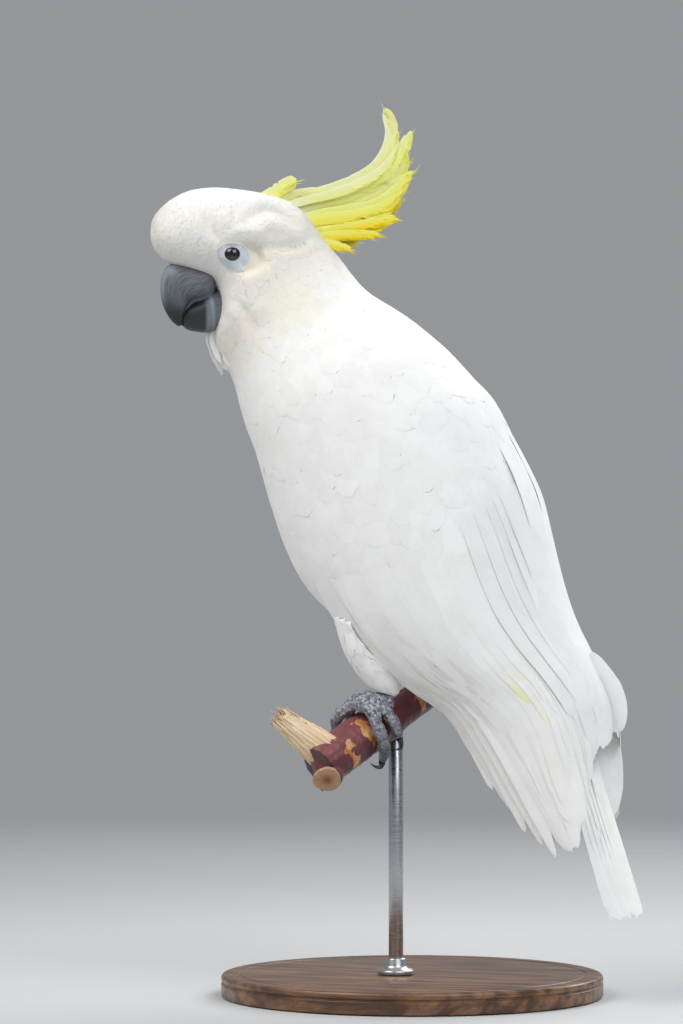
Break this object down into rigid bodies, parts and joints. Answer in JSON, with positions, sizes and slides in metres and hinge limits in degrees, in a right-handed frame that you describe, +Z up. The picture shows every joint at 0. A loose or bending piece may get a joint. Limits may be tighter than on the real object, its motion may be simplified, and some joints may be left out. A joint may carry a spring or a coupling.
{
  "type": "white cockatoo on a perch",
  "caption": "Life-size still display model of a white cockatoo with a yellow crest, gripping a short cut length of branch on a plain stand.",
  "frame": {"origin": "centre of the round stand base's underside", "axes": "+Z up; the bird's body faces -X and its left side is towards -Y; its head is turned to its own left"},
  "size_m": [0.274, 0.21, 0.4907],
  "materials": {
    "white_plumage": "matte",
    "yellow_crest": "matte",
    "grey_leg_skin": "matte",
    "slate_horn": "satin",
    "dark_eye": "gloss",
    "branch_bark": "matte",
    "torn_wood": "matte",
    "base_wood": "satin",
    "rod_steel": "satin"
  },
  "bodies": {
    "root": {"bill_lower": "slate_horn", "bill_upper": "slate_horn", "claw_left_inner_back": "slate_horn", "claw_left_inner_front": "slate_horn", "claw_left_outer_back": "slate_horn", "claw_left_outer_front": "slate_horn", "claw_right_inner_back": "slate_horn", "claw_right_inner_front": "slate_horn", "claw_right_outer_back": "slate_horn", "claw_right_outer_front": "slate_horn", "crest_feather_1": "yellow_crest", "crest_feather_2": "yellow_crest", "crest_feather_3": "yellow_crest", "crest_feather_4": "yellow_crest", "crest_feather_5": "yellow_crest", "crest_feather_6": "yellow_crest", "crest_feather_7": "yellow_crest", "crest_feather_8": "yellow_crest", "eye_left": "dark_eye", "eye_right": "dark_eye", "foot_left": "grey_leg_skin", "foot_right": "grey_leg_skin", "head": "white_plumage", "neck": "white_plumage", "perch": "branch_bark", "perch_torn_end": "torn_wood", "stand_base": "base_wood", "stand_collar": "rod_steel", "stand_rod": "rod_steel", "tail": "white_plumage", "thigh_left": "white_plumage", "thigh_right": "white_plumage", "trunk": "white_plumage", "wing_left": "white_plumage", "wing_right": "white_plumage"}
  },
  "joints": []
}
